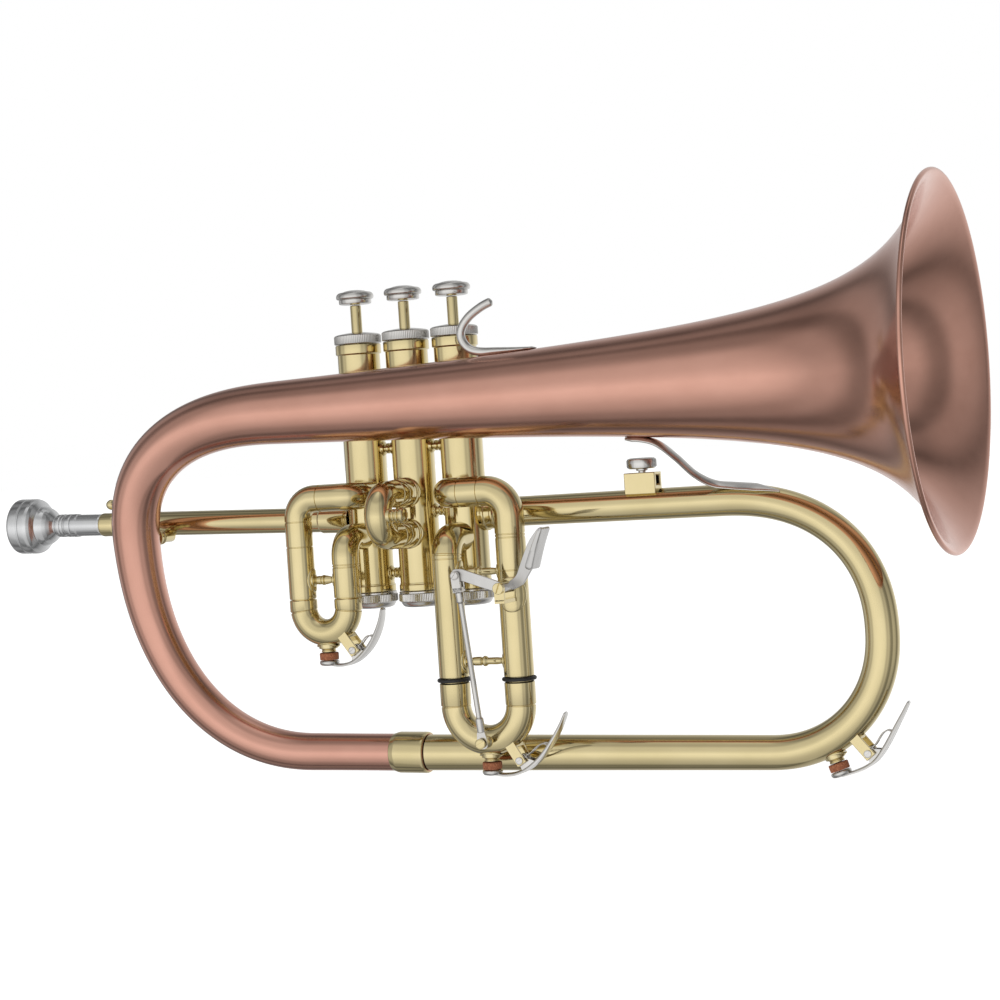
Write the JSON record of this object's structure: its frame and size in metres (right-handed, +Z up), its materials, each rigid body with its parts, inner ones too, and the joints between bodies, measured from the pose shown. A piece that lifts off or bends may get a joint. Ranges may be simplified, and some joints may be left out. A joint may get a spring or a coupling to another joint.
{
  "type": "flugelhorn",
  "caption": "Valved conical brass horn with a wide copper bell, three piston valves, pull slides, a thumb trigger on one slide and sprung drain keys.",
  "frame": {"origin": "on the axis of the middle valve, at the height of the bell axis, where the hand holds the valve casings", "axes": "+X along the bell axis towards its rim, +Z up along the valves towards the finger buttons, -Y to the side that carries the bell and slides"},
  "size_m": [0.4638, 0.1524, 0.2443],
  "materials": {
    "copper_bell": "clear-lacquered rose copper, satin-bright",
    "lacquered_brass": "clear-lacquered yellow brass, bright",
    "nickel_plate": "nickel silver, soft polish",
    "silver_plate": "silver plate, soft polish",
    "cork": "dark red-brown synthetic cork, matt",
    "rubber": "black rubber, matt"
  },
  "bodies": {
    "body": {"bell": "copper_bell", "bell_bow": "copper_bell", "bell_ferrule": "lacquered_brass", "main_tube": "lacquered_brass", "casing_1": "lacquered_brass", "casing_2": "lacquered_brass", "casing_3": "lacquered_brass", "top_cap_1": "nickel_plate", "top_cap_2": "nickel_plate", "top_cap_3": "nickel_plate", "bottom_cap_1": "nickel_plate", "bottom_cap_2": "nickel_plate", "bottom_cap_3": "nickel_plate", "brace_12_top": "lacquered_brass", "brace_12_low": "lacquered_brass", "brace_23_top": "lacquered_brass", "brace_23_mid": "lacquered_brass", "leadpipe": "lacquered_brass", "clamp": "lacquered_brass", "bow_brace": "lacquered_brass", "slide1_upper": "lacquered_brass", "slide1_lower": "lacquered_brass", "slide1_brace": "lacquered_brass", "slide2_upper": "lacquered_brass", "slide2_lower": "lacquered_brass", "slide3_upper": "lacquered_brass", "slide3_lower": "lacquered_brass", "slide3_brace_1": "lacquered_brass", "slide3_brace_2": "lacquered_brass", "trigger_saddle": "lacquered_brass", "key_main_saddle": "lacquered_brass", "finger_hook": "nickel_plate", "s_bracket": "nickel_plate", "lyre_box": "lacquered_brass"},
    "valve_1": {"piston_1": "lacquered_brass", "button_1": "nickel_plate"},
    "valve_2": {"piston_2": "lacquered_brass", "button_2": "nickel_plate"},
    "valve_3": {"piston_3": "lacquered_brass", "button_3": "nickel_plate"},
    "mouthpipe_body": {"mouthpipe": "lacquered_brass"},
    "mouthpiece_body": {"mouthpiece": "silver_plate"},
    "lock_screw": {"clamp_screw": "lacquered_brass"},
    "first_slide": {"slide1": "lacquered_brass", "key1_saddle": "lacquered_brass"},
    "second_slide": {"slide2": "lacquered_brass"},
    "third_slide": {"slide3": "lacquered_brass", "oring_left": "rubber", "oring_right": "rubber", "rod_lug": "lacquered_brass", "key3_saddle": "lacquered_brass"},
    "trigger": {"trigger_lever": "nickel_plate"},
    "rod": {"trigger_rod": "nickel_plate"},
    "water_key_1": {"key1_lever": "nickel_plate", "key1_cork": "cork"},
    "water_key_3": {"key3_lever": "nickel_plate", "key3_cork": "cork"},
    "water_key_main": {"key_main_lever": "nickel_plate", "key_main_cork": "cork"},
    "lyre_thumbscrew": {"lyre_screw": "nickel_plate"}
  },
  "joints": [
    {"name": "valve_1_press", "type": "slide", "parent": "body", "child": "valve_1", "axis": [0, 0, -1], "range_m": [0, 0.0112], "stiffness_N_per_m": 260, "springref_m": -0.012},
    {"name": "valve_2_press", "type": "slide", "parent": "body", "child": "valve_2", "axis": [0, 0, -1], "range_m": [0, 0.0112], "stiffness_N_per_m": 260, "springref_m": -0.012},
    {"name": "valve_3_press", "type": "slide", "parent": "body", "child": "valve_3", "axis": [0, 0, -1], "range_m": [0, 0.0112], "stiffness_N_per_m": 260, "springref_m": -0.012},
    {"name": "first_slide_pull", "type": "slide", "parent": "body", "child": "first_slide", "axis": [0, 0, -1], "range_m": [0, 0.012]},
    {"name": "second_slide_pull", "type": "slide", "parent": "body", "child": "second_slide", "axis": [0, -1, 0], "range_m": [0, 0.0065]},
    {"name": "trigger_press", "type": "hinge", "parent": "body", "child": "trigger", "pos_m": [0.057, -0.0375, -0.0812], "axis": [0, -1, 0], "range_deg": [0, 33.2]},
    {"name": "third_slide_move", "type": "slide", "parent": "body", "child": "third_slide", "axis": [0, 0, -1], "range_m": [0, 0.0122]},
    {"name": "rod_pivot", "type": "hinge", "parent": "trigger", "child": "rod", "pos_m": [0.0368, -0.0416, -0.0749], "axis": [0, -1, 0], "range_deg": [-33.4, 0]},
    {"name": "mouthpipe_pull", "type": "slide", "parent": "body", "child": "mouthpipe_body", "axis": [-0.9996, 0, 0.0279], "range_m": [0, 0.02]},
    {"name": "mouthpiece_pull", "type": "slide", "parent": "mouthpipe_body", "child": "mouthpiece_body", "axis": [-0.9996, 0, 0.0279], "range_m": [0, 0.009]},
    {"name": "lock_screw_turn", "type": "hinge", "parent": "body", "child": "lock_screw", "pos_m": [-0.15115, 0, -0.04672], "axis": [-0.7121, 0, 0.7021], "range_deg": [-180, 180]},
    {"name": "water_key_1_lift", "type": "hinge", "parent": "first_slide", "child": "water_key_1", "pos_m": [-0.02118, -0.026, -0.10674], "axis": [0, -1, 0], "range_deg": [0, 11.4], "stiffness_Nm_per_rad": 0.25, "springref_deg": -14.32},
    {"name": "water_key_3_lift", "type": "hinge", "parent": "third_slide", "child": "water_key_3", "pos_m": [0.05464, -0.0242, -0.15621], "axis": [0, -1, 0], "range_deg": [0, 11.4], "stiffness_Nm_per_rad": 0.25, "springref_deg": -14.32},
    {"name": "water_key_main_lift", "type": "hinge", "parent": "body", "child": "water_key_main", "pos_m": [0.20162, -0.0041, -0.1572], "axis": [0, -1, 0], "range_deg": [0, 11.4], "stiffness_Nm_per_rad": 0.25, "springref_deg": -14.32},
    {"name": "lyre_screw_turn", "type": "hinge", "parent": "body", "child": "lyre_thumbscrew", "pos_m": [0.1087, -0.0015, -0.0363], "axis": [0, 0, 1], "range_deg": [-180, 180]}
  ],
  "couplings": [
    {"joint": "third_slide_move", "follows": "trigger_press", "m_per_rad": 0.020863},
    {"joint": "rod_pivot", "follows": "trigger_press", "ratio": -1}
  ]
}
